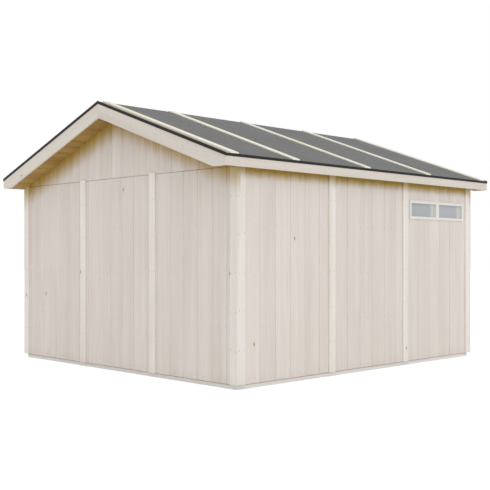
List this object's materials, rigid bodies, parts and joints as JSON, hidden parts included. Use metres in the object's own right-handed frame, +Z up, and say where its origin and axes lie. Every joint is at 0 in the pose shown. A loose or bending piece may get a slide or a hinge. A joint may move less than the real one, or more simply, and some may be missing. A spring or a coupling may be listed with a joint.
{
  "type": "wooden garage",
  "caption": "Wooden garage of board-clad wall panels on base beams, with corner boards, seam battens, a felted gable roof held by battens, and a high strip window in each long wall.",
  "frame": {"origin": "ground level, at the middle of the building's box", "axes": "+X to the right-hand long wall, +Y along the ridge towards the back gable, +Z up; the front gable faces -Y"},
  "size_m": [3.996, 4.532, 2.9145],
  "materials": {
    "cladding": "planed untreated spruce boards, matt",
    "trim": "planed untreated spruce boards, paler, with small knots",
    "frame_timber": "planed softwood framing",
    "base_timber": "weather-grey treated softwood",
    "roof_boards": "planed spruce boards in shade",
    "felt": "mineral-surfaced bitumen felt with black edges",
    "roof_battens": "planed untreated softwood battens",
    "window_frame": "white-stained planed wood",
    "window_glass": "clear window glass"
  },
  "bodies": {
    "root": {"gable_base_beams": "base_timber", "side_base_beams": "base_timber", "front_panel_left": "cladding", "front_panel_middle": "cladding", "front_panel_right": "cladding", "back_panel_left": "cladding", "back_panel_middle": "cladding", "back_panel_right": "cladding", "left_panel_front": "cladding", "left_panel_middle": "cladding", "left_panel_back": "cladding", "right_panel_front": "cladding", "right_panel_middle": "cladding", "right_panel_back": "cladding", "front_gable_left": "cladding", "front_gable_right": "cladding", "back_gable_left": "cladding", "back_gable_right": "cladding", "front_trim_boards": "trim", "back_trim_boards": "trim", "left_trim_boards": "trim", "right_trim_boards": "trim", "left_fascia": "trim", "right_fascia": "trim", "front_barge_boards": "trim", "back_barge_boards": "trim", "gable_wall_studs": "frame_timber", "side_wall_studs": "frame_timber", "gable_wall_rails": "frame_timber", "side_wall_rails": "frame_timber", "rafters_left": "frame_timber", "rafters_right": "frame_timber", "roof_ties": "frame_timber", "roof_deck_left": "roof_boards", "roof_deck_right": "roof_boards", "gable_soffit_boards": "roof_boards", "roof_felt_left": "felt", "roof_felt_right": "felt", "roof_battens_left": "roof_battens", "roof_battens_right": "roof_battens", "left_window_rails": "window_frame", "right_window_rails": "window_frame", "left_window_stiles": "window_frame", "right_window_stiles": "window_frame", "window_glass": "window_glass"}
  },
  "joints": []
}
